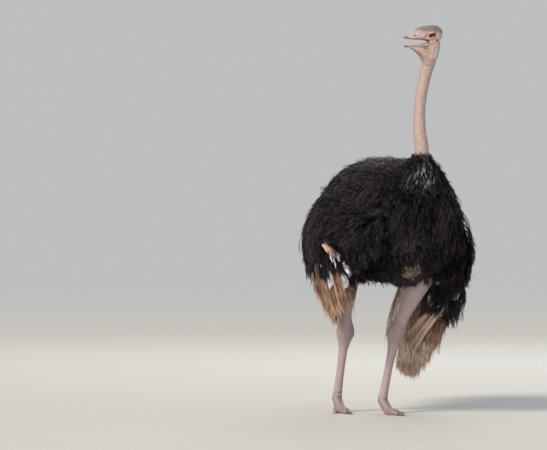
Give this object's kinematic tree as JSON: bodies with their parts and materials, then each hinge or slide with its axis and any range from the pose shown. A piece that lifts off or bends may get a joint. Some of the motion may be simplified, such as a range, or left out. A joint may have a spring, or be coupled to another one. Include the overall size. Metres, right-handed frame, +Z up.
{
  "type": "ostrich",
  "caption": "Adult male ostrich as a still life-size model, in mid-stride with loose drooping wings, bare neck and legs, and open bill.",
  "frame": {"origin": "on the floor, under the middle of the bird's box", "axes": "+Z up, the bird's body faces -Y, its own left side is +X"},
  "size_m": [0.9684, 1.356, 2.3203],
  "materials": {
    "head_neck_skin": "bare greyish pink skin with sparse short down",
    "leg_skin": "bare grey-pink skin with horny scutes",
    "horn": "horny bill, pinkish grey with a dark tip",
    "nail": "dark horny nail",
    "eye": "wet dark eye",
    "mouth": "moist pink tongue",
    "black_plumage": "loose soft black plumes",
    "collar_plumage": "short black feathers with pale fringes",
    "wing_plumes": "white plumes stained tan",
    "tail_plumes": "plumes stained brown"
  },
  "bodies": {
    "root": {"bill_lower": "horn", "bill_upper": "horn", "drumstick_left": "leg_skin", "drumstick_right": "leg_skin", "ear_left": "head_neck_skin", "ear_right": "head_neck_skin", "eye_left": "eye", "eye_right": "eye", "head": "head_neck_skin", "nail_left": "nail", "nail_right": "nail", "neck_collar": "collar_plumage", "neck_lower": "head_neck_skin", "neck_middle": "head_neck_skin", "neck_upper": "head_neck_skin", "shank_left": "leg_skin", "shank_right": "leg_skin", "tail": "tail_plumes", "toe_inner_left": "leg_skin", "toe_inner_right": "leg_skin", "toe_outer_left": "leg_skin", "toe_outer_right": "leg_skin", "tongue": "mouth", "trunk": "black_plumage", "wing_hand_left": "head_neck_skin", "wing_hand_right": "head_neck_skin", "wing_left": "black_plumage", "wing_plumes_left": "wing_plumes", "wing_plumes_right": "wing_plumes", "wing_right": "black_plumage"}
  },
  "joints": []
}
